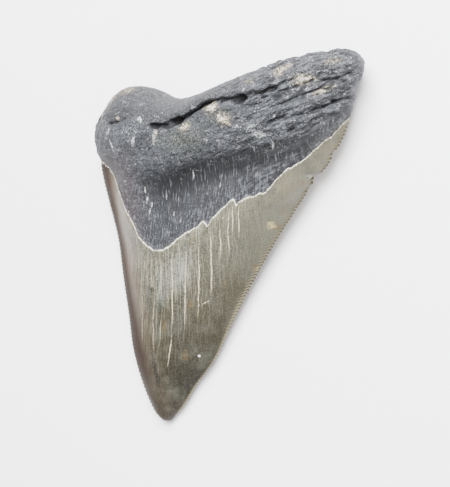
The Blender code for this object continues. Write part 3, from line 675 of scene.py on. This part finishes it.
def serrate(sheet, v):
    """Pushes points out by a row of arches, |sin|, that dies away from the edge as a bell.

    It returns how near each point is to a cutting edge, and the same times its row's arch.
    """
    rows = np.arange(len(v))
    edges, ticks = np.zeros((2, *sheet.shape[:2]))
    for side, rows_each, sign in ((0, ROWS_A_SHORT, -1), (-1, ROWS_A_LONG, 1)):
        edge = sheet[:, side, :2].copy()
        arch = np.abs(np.sin(np.pi * rows / rows_each))
        grown = ramp(edge[:, 1], SERRATIONS_FROM, SERRATIONS_BY)
        grown = grown * (1 - ramp(v, ENAMEL_ROW - SERRATIONS_FADE, ENAMEL_ROW))
        along = np.gradient(edge, axis=0)
        out = sign * np.stack([along[:, 1], -along[:, 0]], axis=1) / np.hypot(*along.T)[:, None]
        away = np.linalg.norm(sheet[:, :, :2] - edge[:, None], axis=2)
        push = SERRATION_DEPTH * (arch * grown)[:, None] * bump(away, 0, SERRATION_REACH)
        if sign > 0:
            lost = sum(depth * bump(edge[:, 1], y, width) for y, depth, width in CHIPS)
            push = push - lost[:, None] * bump(away, 0, CHIP_REACH * SERRATION_REACH)
        sheet[:, :, :2] += push[..., None] * out[:, None]
        reach = TICK_REACH * (TICK_LEAST + (1 - TICK_LEAST) * ramp(edge[:, 1], TICK_FROM, TICK_BY))
        near = grown[:, None] * bump(away, 0, reach[:, None]) * (1 if sign > 0 else SHORT_TICK)
        edges += near
        ticks += arch[:, None] * near
    return edges, ticks


def segment_bell(x, y, start, end, width):
    """A bell of the distance in plan to a line between two places."""
    (x0, y0), (x1, y1) = start, end
    t = np.clip(((x - x0) * (x1 - x0) + (y - y0) * (y1 - y0)) / ((x1 - x0) ** 2 + (y1 - y0) ** 2), 0, 1)
    return np.exp(-((x - x0 - t * (x1 - x0)) ** 2 + (y - y0 - t * (y1 - y0)) ** 2) / width**2)


def patch_bell(x, y, patch):
    """A bell over an ellipse in plan, with its long axis at the patch's lean."""
    (x0, y0), half_length, half_width, lean, strength = patch
    lean = np.radians(lean)
    along = (x - x0) * np.cos(lean) + (y - y0) * np.sin(lean)
    over = (y - y0) * np.cos(lean) - (x - x0) * np.sin(lean)
    return strength * np.exp(-((along / half_length) ** 2) - (over / half_width) ** 2)


def relief(points, v, front):
    """How far each point moves along its normal, and how much painted shade it gets in a furrow.

    Hills of falling size make the root's grain, stretched ones its striae and oblique ridges. A bell
    along the furrow's wandering line and one along each groove cut into it, and each flake lost from
    the enamel is a bell with a flat middle. The slit, a broad trench about it, the grooves and the
    lowest parts of the strips get painted shade.
    """
    x, y = points[..., 0], points[..., 1]
    root = ramp(v, ENAMEL_ROW + STEP_WIDTH, FOOT_ROW)
    torus = ramp(v, FOOT_ROW, ROUGH_BY)
    band = between(v, ENAMEL_ROW, BAND_TO, BAND_FADE)
    base = ramp(v, SMOOTH_FROM, SMOOTH_BY)
    long_lobe = ramp(x, *LONG_LOBE)
    rough = torus * (1 - SMOOTHING * base * (1 - long_lobe))
    height = rough * hill_sum(points, GRAIN_HILLS)
    pits = np.minimum(hills(points, PIT_SIZE, PIT_SEED) + PIT_SHARE, 0)
    height = height + PIT_DEPTH * rough * front * pits

    turned = np.stack([
        x * np.cos(RIDGE_SLANT) + y * np.sin(RIDGE_SLANT),
        y * np.cos(RIDGE_SLANT) - x * np.sin(RIDGE_SLANT),
        points[..., 2],
    ], axis=-1)
    strips = hill_sum(turned, STRIP_HILLS)
    height = height + front * long_lobe * torus * strips
    height = height + band * hill_sum(points, STRIA_HILLS) + (1 - root) * hill_sum(points, CROWN_HILLS)

    along = points * (1, 0, 0)
    wander = SLIT_WANDER * hill_sum(along, WANDER_HILLS)
    narrow = SLIT_WIDTH * (1 + hill_sum(along, NARROW_HILLS))
    slit = bump(v, FURROW_ROW + wander, narrow) * between(x, SLIT_FROM, SLIT_TO, SLIT_FADE)
    open_part = SLIT_MEAN + hill_sum(along, SLIT_HILLS) - SLIT_LOSS * ramp(x, SLIT_LOSS_FROM, SLIT_LOSS_BY)
    slit = np.clip(slit * np.clip(open_part, 0, SLIT_MOST), 0, 1)
    # A trench of painted shade about the slit: it darkens the colour and cuts nothing.
    broad = TRENCH_WIDTH * (1 + hill_sum(along, TRENCH_HILLS))
    trench = TRENCH_PAINTED_SHADE * bump(v, FURROW_ROW + TRENCH_OFF + TRENCH_WANDER * wander, broad)
    trench = trench * between(x, SLIT_FROM, TRENCH_TO, SLIT_FADE)
    hollow = front * np.maximum(slit, trench)
    height = height - SLIT_DEPTH * front * slit
    # Each groove is cut, and its floor gets painted shade.
    for start, end, depth, width in GROOVES:
        groove = front * segment_bell(x, y, start, end, width * (1 + hill_sum(points, GROOVE_HILLS)))
        height = height - depth * groove
        hollow = np.maximum(hollow, min(1, GROOVE_PAINTED_SHADE * depth) * groove)
    # Painted shade in the lowest parts of the long lobe's strips.
    valleys = VALLEY_PAINTED_SHADE * front * long_lobe * torus * ramp(-strips, VALLEY_FROM, VALLEY_BY)
    hollow = np.maximum(hollow, valleys)
    for (x0, y0), depth, width in FLAKES:
        flake = np.clip(FLAKE_FLAT * bump(x, x0, width) * bump(y, y0, width), 0, 1)
        height = height - front * depth * flake
    return height, np.clip(hollow, 0, 1)


def paint_masks(points, v, front, hollow, from_edge):
    """Named fields that the materials read, one number a point.

    from_edge is the way from the enamel's edge towards the tip, band lies between the enamel and the
    torus, under is a bell of painted shade along the torus's foot, cream the largest of its patches,
    hollow the painted shade on the furrows' floors and base the root's lower face.
    """
    x, y = points[..., 0], points[..., 1]
    rooted = (v > ENAMEL_ROW).astype(float)
    band = rooted * front * (1 - ramp(v, *BAND_ENDS)) * ramp(x, *BAND_STARTS)
    down = UNDER_DOWN - UNDER_NARROWING * ramp(x, *UNDER_NARROWS)
    under = bump(v, UNDER_ROW, np.where(v < UNDER_ROW, UNDER_UP, down))
    under = under * front * ramp(x, *UNDER_STARTS) * (1 - UNDER_LOSS * ramp(x, *UNDER_WEAKENS))
    cream = np.max([patch_bell(x, y, patch) for patch in CREAM], axis=0) * rooted * front
    base = ramp(v, FURROW_ROW, BASE_DARK_BY) * (1 - BASE_LOSS * ramp(x, *LONG_LOBE)) * front
    return {
        "front": front,
        "from_edge": np.clip(from_edge, -EDGE_SEEN, EDGE_SEEN),
        "band": np.clip(band, 0, 1),
        "under": np.clip(under, 0, 1),
        "cream": cream,
        "hollow": hollow,
        "base": base,
    }


def tooth_grid():
    """The two sheets as one grid of rings of points, moved by the relief, and the named fields."""
    v = row_places()
    u = column_places()
    lingual = lingual_point(*np.meshgrid(u, v))
    labial = labial_point(*np.meshgrid(u[::STITCHES], v))
    lingual_edges, labial_edges = serrate(lingual, v), serrate(labial, v)

    def ring(first, second):
        return np.concatenate([first, second[:, -2:0:-1]], axis=1)

    points = ring(lingual, labial)
    edges, ticks = (ring(a, b) for a, b in zip(lingual_edges, labial_edges))
    front = ring(np.ones(lingual.shape[:2]), np.zeros(labial.shape[:2]))
    v = np.broadcast_to(v[:, None], front.shape)

    step = np.linalg.norm(np.diff(points, axis=0), axis=2)
    run = np.concatenate([np.zeros((1, step.shape[1])), np.cumsum(step, axis=0)])
    from_edge = run[LONG_SERRATIONS * ROWS_A_LONG] - run
    across = np.roll(points, -1, axis=1) - np.roll(points, 1, axis=1)
    normal = np.cross(across, np.gradient(points, axis=0))
    size = np.linalg.norm(normal, axis=2, keepdims=True)
    normal = normal / np.maximum(size, SMALL)
    # The base row's points face away along the table, square to the base's line.
    base = np.gradient(points[-1, :, :2], axis=0)
    normal[-1] = np.stack([-base[:, 1], base[:, 0], np.zeros(len(base))], axis=1)
    normal[-1] /= np.maximum(np.linalg.norm(normal[-1], axis=1, keepdims=True), SMALL)
    height, hollow = relief(points, v, front)
    masks = paint_masks(points, v, front, hollow, from_edge)
    masks |= {"edge": edges, "tick": ticks}
    moved = points + (height * ramp(v, 0, TIP_SMOOTH_BY))[..., None] * normal
    moved[..., 2] = np.maximum(moved[..., 2], 0)
    return moved, masks


def triangles_of(rows):
    """Corners as (row, unrolled ring column) pairs, in three groups.

    A fan closes the tip, pairs of triangles fill the rings, and along the base's seam a small fan
    joins each labial column to its lingual ones. The seam's base corners count lingual columns.
    """
    ring = LINGUAL_COLUMNS + LABIAL_COLUMNS

    def corners(*pairs):
        return np.stack([np.stack(np.broadcast_arrays(*pair), axis=1) for pair in pairs], axis=1)

    c = np.arange(ring)
    fan = corners((0, c), (1, c + 1), (1, c))
    r, c = (a.ravel() for a in np.meshgrid(np.arange(1, rows - 1), c, indexing="ij"))
    keep = (r < rows - 2) | (c < LINGUAL_COLUMNS)
    r, c = r[keep], c[keep]
    strips = np.concatenate([
        corners((r, c), (r, c + 1), (r + 1, c + 1)), corners((r, c), (r + 1, c + 1), (r + 1, c)),
    ])
    near, far = rows - 2, rows - 1
    k = LINGUAL_COLUMNS + np.arange(LABIAL_COLUMNS)
    fine = LINGUAL_COLUMNS - STITCHES * np.arange(LABIAL_COLUMNS)
    seam = [corners((near, k), (far, fine - j - 1), (far, fine - j)) for j in range(STITCHES)]
    seam.append(corners((near, k), (near, k + 1), (far, fine - STITCHES)))
    return fan, strips, np.concatenate(seam)


def chart_of(points, columns, at):
    """A face's map: as wide as the way along each row from the middle, as high as the way up it."""
    face = points[:, columns]
    middle = len(columns) // 2
    step = np.linalg.norm(np.diff(face, axis=1), axis=2)
    across = np.concatenate([np.zeros((len(face), 1)), np.cumsum(step, axis=1)], axis=1)
    across = across - across[:, middle : middle + 1]
    up = np.concatenate([[0], np.cumsum(np.linalg.norm(np.diff(face[:, middle], axis=0), axis=1))])
    height = np.broadcast_to(up[:, None] / up[-1], across.shape)
    return np.stack([at + across / CHART_SPAN, CHART_MARGIN + (1 - 2 * CHART_MARGIN) * height], axis=-1)


def build_tooth():
    """The closed surface as one mesh, with its masks and a map of the two faces side by side."""
    points, masks = tooth_grid()
    rows, ring = points.shape[:2]
    groups = triangles_of(rows)
    corners = np.concatenate(groups)
    row, column = corners[..., 0], corners[..., 1]
    on_base = row == rows - 1
    first_base = 1 + (rows - 2) * ring
    faces = np.where(row == 0, 0, 1 + (row - 1) * ring + column % ring)
    faces = np.where(on_base, first_base + column, faces)

    def flat(field):
        rings = field[1:-1].reshape(-1, *field.shape[2:])
        return np.concatenate([field[:1, 0], rings, field[-1, : LINGUAL_COLUMNS + 1]])

    lingual = chart_of(points, np.arange(LINGUAL_COLUMNS + 1), CHART_MIDDLES[0])
    labial = chart_of(points, np.arange(LINGUAL_COLUMNS, ring + 1) % ring, CHART_MIDDLES[1])
    # The seam's fine base corners lie between the labial chart's last points.
    coarse = LINGUAL_COLUMNS - STITCHES * np.arange(LABIAL_COLUMNS + 1)
    fine = [np.interp(np.arange(LINGUAL_COLUMNS + 1), coarse[::-1], labial[-1, ::-1, k]) for k in (0, 1)]
    in_seam = np.arange(len(corners)) >= len(groups[0]) + len(groups[1])
    is_labial = in_seam | (column.mean(axis=1) > LINGUAL_COLUMNS)
    uv = lingual[row, np.minimum(column, LINGUAL_COLUMNS)]
    other = labial[row, np.clip(column - LINGUAL_COLUMNS, 0, LABIAL_COLUMNS)]
    other = np.where(on_base[..., None], np.stack(fine, axis=1)[np.minimum(column, LINGUAL_COLUMNS)], other)
    uv = np.where(is_labial[:, None, None], other, uv)

    mesh = bpy.data.meshes.new("tooth_surface")
    mesh.from_pydata(fit_to_solid(flat(points)).tolist(), [], faces.tolist())
    for name, field in masks.items():
        layer = mesh.attributes.new(name, "FLOAT", "POINT")
        layer.data.foreach_set("value", flat(field).astype(np.float32))
    layer = mesh.uv_layers.new(name="OFBake")
    layer.data.foreach_set("uv", uv.reshape(-1).astype(np.float32))
    on_root = row.max(axis=1) > LONG_SERRATIONS * ROWS_A_LONG
    mesh.polygons.foreach_set("material_index", on_root.astype(np.int32))
    mesh.materials.append(fossil_enamel())
    mesh.materials.append(fossil_dentine())
    mesh.shade_smooth()
    tooth = bpy.data.objects.new("tooth_surface", mesh)
    bpy.context.scene.collection.objects.link(tooth)
    return tooth


def fit_to_solid(points):
    """The points in metres, moved and stretched axis by axis until their box is the solid's."""
    low, high = (np.array(corner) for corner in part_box("tooth"))
    least, most = points.min(axis=0), points.max(axis=0)
    return low + (points - least) * (high - low) / (most - least)


def linear(code):
    """A #rrggbb colour as linear light.

    A channel is divided by 12.92 up to 0.04045. Above it, 0.055 is added, the sum divided by 1.055
    and raised to 2.4.
    """
    srgb = [int(code[k : k + 2], 16) / 255 for k in (1, 3, 5)]
    return (*[c / 12.92 if c <= 0.04045 else ((c + 0.055) / 1.055) ** 2.4 for c in srgb], 1.0)


def add(tree, kind, links, out=0, stops=(), **settings):
    """Adds a node. links gives its inputs a value or another node's output, stops a ramp's colours."""
    made = tree.nodes.new("ShaderNode" + kind)
    for name, value in settings.items():
        setattr(made, name, value)
    for key, value in links.items():
        if isinstance(value, bpy.types.NodeSocket):
            tree.links.new(value, made.inputs[key])
        else:
            made.inputs[key].default_value = value
    if stops:
        elements = made.color_ramp.elements
        elements[0].position, elements[-1].position = stops[0][0], stops[-1][0]
        for place, _ in stops[1:-1]:
            elements.new(place)
        for element, (_, code) in zip(elements, stops):
            element.color = linear(code)
    return made.outputs[out] if made.outputs else None


def start_material(name, noises, attributes):
    """An empty material and its fields, by name.

    mm is the place in the same millimetres as the tables, and x, y and z are its parts. The others
    are plain noise and the mesh's own fields.
    """
    material = bpy.data.materials.new(name)
    material.use_nodes = True
    tree = material.node_tree
    tree.nodes.clear()
    place = add(tree, "TexCoord", {}, out=3)
    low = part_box("tooth")[0]
    short = min(x for x, _ in SHORT_SIDE)
    moved = (-low[0] / MM + short, -low[1] / MM + SHORT_SIDE[0][1], 0)
    mm = add(tree, "Mapping", {"Vector": place, "Scale": (1 / MM, 1 / MM, 1 / MM), "Location": moved})
    fields = {"mm": mm}
    fields |= zip("xyz", add(tree, "SeparateXYZ", {0: mm}).node.outputs)
    for field, (scale, detail, share) in noises.items():
        cells = {"Vector": mm, "Scale": scale, "Detail": detail, "Roughness": share}
        fields[field] = add(tree, "TexNoise", cells)
    for field in attributes:
        fields[field] = add(tree, "Attribute", {}, out=2, attribute_name=field)
    return material, tree, fields


def pushed_about(tree, place, scale, detail, share, swing):
    """Places moved in plan: the place plus swing times noise less a half."""
    cells = {"Vector": place, "Scale": scale, "Detail": detail, "Roughness": share}
    push = add(tree, "TexNoise", cells, out=1)
    push = add(tree, "VectorMath", {0: push, 1: (0.5, 0.5, 0.5)}, operation="SUBTRACT")
    return add(tree, "VectorMath", {0: push, 1: (swing, swing, 0), 2: place}, operation="MULTIPLY_ADD")


def add_streaks(tree, fields, rows):
    """Adds each named field of noise, with cells that long, wide and high on a grid turned in plan."""
    for name, (frame, turn, size, detail, share) in rows.items():
        grid = {"Vector": fields[frame], "Rotation": (0, 0, turn), "Scale": size}
        cells = add(tree, "Mapping", grid, vector_type="TEXTURE")
        cells = {"Vector": cells, "Scale": 1.0, "Detail": detail, "Roughness": share}
        fields[name] = add(tree, "TexNoise", cells)


def add_sums(tree, fields, rows):
    """Adds each named sum: the first field or number, plus each other field times its weight."""
    for name, first, *terms in rows:
        total = fields.get(first, first)
        for field, weight in terms:
            term = {0: fields[field], 1: fields.get(weight, weight), 2: total}
            total = add(tree, "Math", term, operation="MULTIPLY_ADD")
        fields[name] = total


def add_masks(tree, fields, rows, **settings):
    """Adds each named mask: its field's way from start to end, spread from low to high, times its gates."""
    for name, field, start, end, low, high, *gates in rows:
        spread = {0: fields[field], 1: start, 2: end, 3: low, 4: fields.get(high, high)}
        mask = add(tree, "MapRange", spread, **settings)
        for gate in gates:
            mask = add(tree, "Math", {0: mask, 1: fields[gate]}, operation="MULTIPLY")
        fields[name] = mask


def add_marks(tree, fields, rows):
    """Adds each named mask of marks: the largest of its marks, times its gates.

    A mark is an ellipse (middle, half length, half width, lean in degrees from x, strength). It is
    0 at its rim and rises evenly to its strength part of the way in to its middle.
    """
    for name, places, frame, part, *gates in rows:
        mask = None
        for (x, y), half_length, half_width, lean, strength in places:
            ellipse = {
                "Vector": fields[frame], "Location": (x, y, 0), "Rotation": (0, 0, np.radians(lean)),
                "Scale": (half_length, half_width, MARK_HEIGHT),
            }
            ellipse = add(tree, "Mapping", ellipse, vector_type="TEXTURE")
            inside = add(tree, "TexGradient", {0: ellipse}, out=1, gradient_type="SPHERICAL")
            mark = add(tree, "MapRange", {0: inside, 1: 0.0, 2: part, 3: 0.0, 4: strength})
            mask = mark if mask is None else add(tree, "Math", {0: mask, 1: mark}, operation="MAXIMUM")
        for gate in gates:
            mask = add(tree, "Math", {0: mask, 1: fields[gate]}, operation="MULTIPLY")
        fields[name] = mask


def crack_marks():
    """Each crack as a very thin mark between its ends."""
    return [
        (
            ((x0 + x1) / 2, (y0 + y1) / 2), np.hypot(x1 - x0, y1 - y0) / 2 + CRACK_SPARE,
            CRACK_SLIM * half_width, np.degrees(np.arctan2(y1 - y0, x1 - x0)), strength,
        )
        for (x0, y0), (x1, y1), half_width, strength in CRACKS
    ]


def paint_over(tree, fields, colour, layers):
    """Lays each (mask, colour) over what is below it."""
    for mask, above in layers:
        above = fields[above] if above in fields else linear(above)
        colour = add(tree, "Mix", {0: fields[mask], 6: colour, 7: above}, out=2, data_type="RGBA")
    return colour


def fossil_enamel():
    """Fossil enamel: fluorapatite that grew in bundles from edge to tip, stained by minerals in the ground.

    It gives a hard satin gloss over fine streaks of cream, olive and blue grey, darker to the tip,
    with cracks that hold pale mineral. Part of the darkening to the tip is painted shade; the short
    side holds painted shade on its flank and a painted warm reflection, and below the enamel's V lies
    a painted pale blue-grey sheen. Apatite's IOR is 1.63.
    """
    material, tree, fields = start_material(
        "fossil enamel, mineral stained", ENAMEL_NOISE, ("front", "from_edge", "edge", "tick")
    )
    fields["bent"] = pushed_about(tree, fields["mm"], *BEND)
    fields["torn"] = pushed_about(tree, fields["mm"], *TEAR)
    add_streaks(tree, fields, ENAMEL_STREAKS)
    add_sums(tree, fields, ENAMEL_SUMS)
    add_masks(tree, fields, ENAMEL_FADES, interpolation_type="SMOOTHSTEP")
    add_masks(tree, fields, ENAMEL_MASKS)
    add_marks(tree, fields, [*ENAMEL_MARKS, ("crack", crack_marks(), "bent", 0.4, "broken", "front")])
    # Along its edge the enamel is bare and pale, for 0.1 to 0.6 mm.
    add_sums(tree, fields, [("past_rim", "from_edge", ("rim_width", -1.0))])
    add_masks(tree, fields, [("rim", "past_rim", -RIM_SOFT, RIM_SOFT, 1.0, 0.0)])
    rim = {0: fields["ragged"], 6: linear(RIM_COLOURS[0]), 7: linear(RIM_COLOURS[1])}
    fields["bare"] = add(tree, "Mix", rim, out=2, data_type="RGBA")

    ground = add(tree, "ValToRGB", {0: fields["up_crown"]}, stops=ENAMEL_GROUND)
    # The flank with painted shade is duller, the streaks stand a little proud and the cracks a little low.
    add_sums(tree, fields, [
        ("gloss", "polish", ("flank_painted_shade", 0.45)), ("rise", 0.0, ("thin", "streaky"), ("crack", -0.8)),
    ])
    fine = add(tree, "Bump", {"Height": fields["rise"], "Strength": 0.35, "Distance": 0.00006})
    shell = add(tree, "BsdfPrincipled", {
        "Base Color": paint_over(tree, fields, ground, ENAMEL_LAYERS), "Roughness": fields["gloss"],
        "IOR": 1.63, "Specular IOR Level": 0.2, "Normal": fine,
    })
    add(tree, "OutputMaterial", {"Surface": shell})
    return material


def fossil_dentine():
    """Fossil dentine of the root: porous bone-like tissue, filled with slate-grey phosphate.

    It is matt and speckled on the torus, smoother on the base, and finely lined where it meets the
    enamel, with cream mineral left in patches. Its colour also holds painted shade under the torus and
    on the floors of the furrow, the grooves and the long lobe's valleys.
    """
    material, tree, fields = start_material(
        "fossil dentine, slate grey", DENTINE_NOISE, ("front", "band", "under", "cream", "hollow", "base")
    )
    add_streaks(tree, fields, DENTINE_STREAKS)
    add_masks(tree, fields, LOBE_FADE, interpolation_type="SMOOTHSTEP")
    add_sums(tree, fields, DENTINE_SUMS)
    add_masks(tree, fields, DENTINE_FADES, interpolation_type="SMOOTHSTEP")
    add_masks(tree, fields, DENTINE_MASKS)
    add_marks(tree, fields, DENTINE_MARKS)
    add_sums(tree, fields, PATCH_SUM)
    add_masks(tree, fields, PATCH_FADE, interpolation_type="SMOOTHSTEP")
    add_masks(tree, fields, PATCH_MASK)
    mineral = {0: fields["paler"], 6: linear(CREAM_COLOURS[0]), 7: linear(CREAM_COLOURS[1])}
    fields["mineral"] = add(tree, "Mix", mineral, out=2, data_type="RGBA")

    ground = add(tree, "ValToRGB", {0: fields["cloud"]}, stops=DENTINE_GROUND)
    add_sums(tree, fields, [("rise", 0.0, ("grit", "no_band"), ("strips", "on_lobe"), ("lines", "band"))])
    fine = add(tree, "Bump", {"Height": fields["rise"], "Strength": 0.9, "Distance": 0.0005})
    shell = add(tree, "BsdfPrincipled", {
        "Base Color": paint_over(tree, fields, ground, DENTINE_LAYERS), "Roughness": fields["rough"],
        "IOR": 1.55, "Specular IOR Level": 0.35, "Normal": fine,
    })
    add(tree, "OutputMaterial", {"Surface": shell})
    return material


def add_table():
    """A plain matt white table top under the tooth, far wider than the view."""
    mesh = bpy.data.meshes.new("table_top")
    around = ((-1, -1), (1, -1), (1, 1), (-1, 1))
    corners = [(TABLE_HALF * x, TABLE_HALF * y, TABLE_TOP) for x, y in around]
    mesh.from_pydata(corners, [], [(0, 1, 2, 3)])
    table = bpy.data.objects.new("table_top", mesh)
    bpy.context.scene.collection.objects.link(table)
    material = bpy.data.materials.new("matt white laminate")
    material.use_nodes = True
    shader = material.node_tree.nodes["Principled BSDF"]
    shader.inputs["Base Color"].default_value = linear(TABLE_COLOUR)
    shader.inputs["Roughness"].default_value = 0.8
    mesh.materials.append(material)


def add_light(name, place, target, size, power, colour):
    """A soft square light that faces the target."""
    data = bpy.data.lights.new(name, "AREA")
    data.shape, data.size, data.energy, data.color = "SQUARE", size, power, linear(colour)[:3]
    light = bpy.data.objects.new(name, data)
    light.location = place
    light.rotation_euler = (Vector(target) - Vector(place)).to_track_quat("-Z", "Y").to_euler()
    bpy.context.scene.collection.objects.link(light)


def add_camera():
    """Looks down on the domed face, 30 degrees round towards the long lobe and 5 towards the root."""
    back = np.array([
        np.sin(VIEW_TURN) * np.cos(VIEW_TIP), np.sin(VIEW_TIP), np.cos(VIEW_TURN) * np.cos(VIEW_TIP),
    ])
    right = np.cross([0, 1, 0], back)
    right = right / np.linalg.norm(right)
    up = np.cross(back, right)
    data = bpy.data.cameras.new("camera")
    data.sensor_fit, data.sensor_height, data.lens = "VERTICAL", SENSOR_HEIGHT, LENS
    data.clip_start = VIEW_NEAREST
    camera = bpy.data.objects.new("camera", data)
    axes = Matrix(np.stack([right, up, back], axis=1).tolist()).to_4x4()
    place = np.array(VIEW_TARGET) + VIEW_AWAY * back
    camera.matrix_world = Matrix.Translation(Vector(place.tolist())) @ axes
    bpy.context.scene.collection.objects.link(camera)
    bpy.context.scene.camera = camera


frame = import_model()

tooth = build_tooth()
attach(tooth, "root")
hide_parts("tooth")

add_table()
for light in LIGHTS:
    add_light(*light)
world = bpy.data.worlds.new("studio")
bpy.context.scene.world = world
world.use_nodes = True
world.node_tree.nodes["Background"].inputs["Color"].default_value = linear(ROOM_COLOUR)
world.node_tree.nodes["Background"].inputs["Strength"].default_value = ROOM_STRENGTH
add_camera()
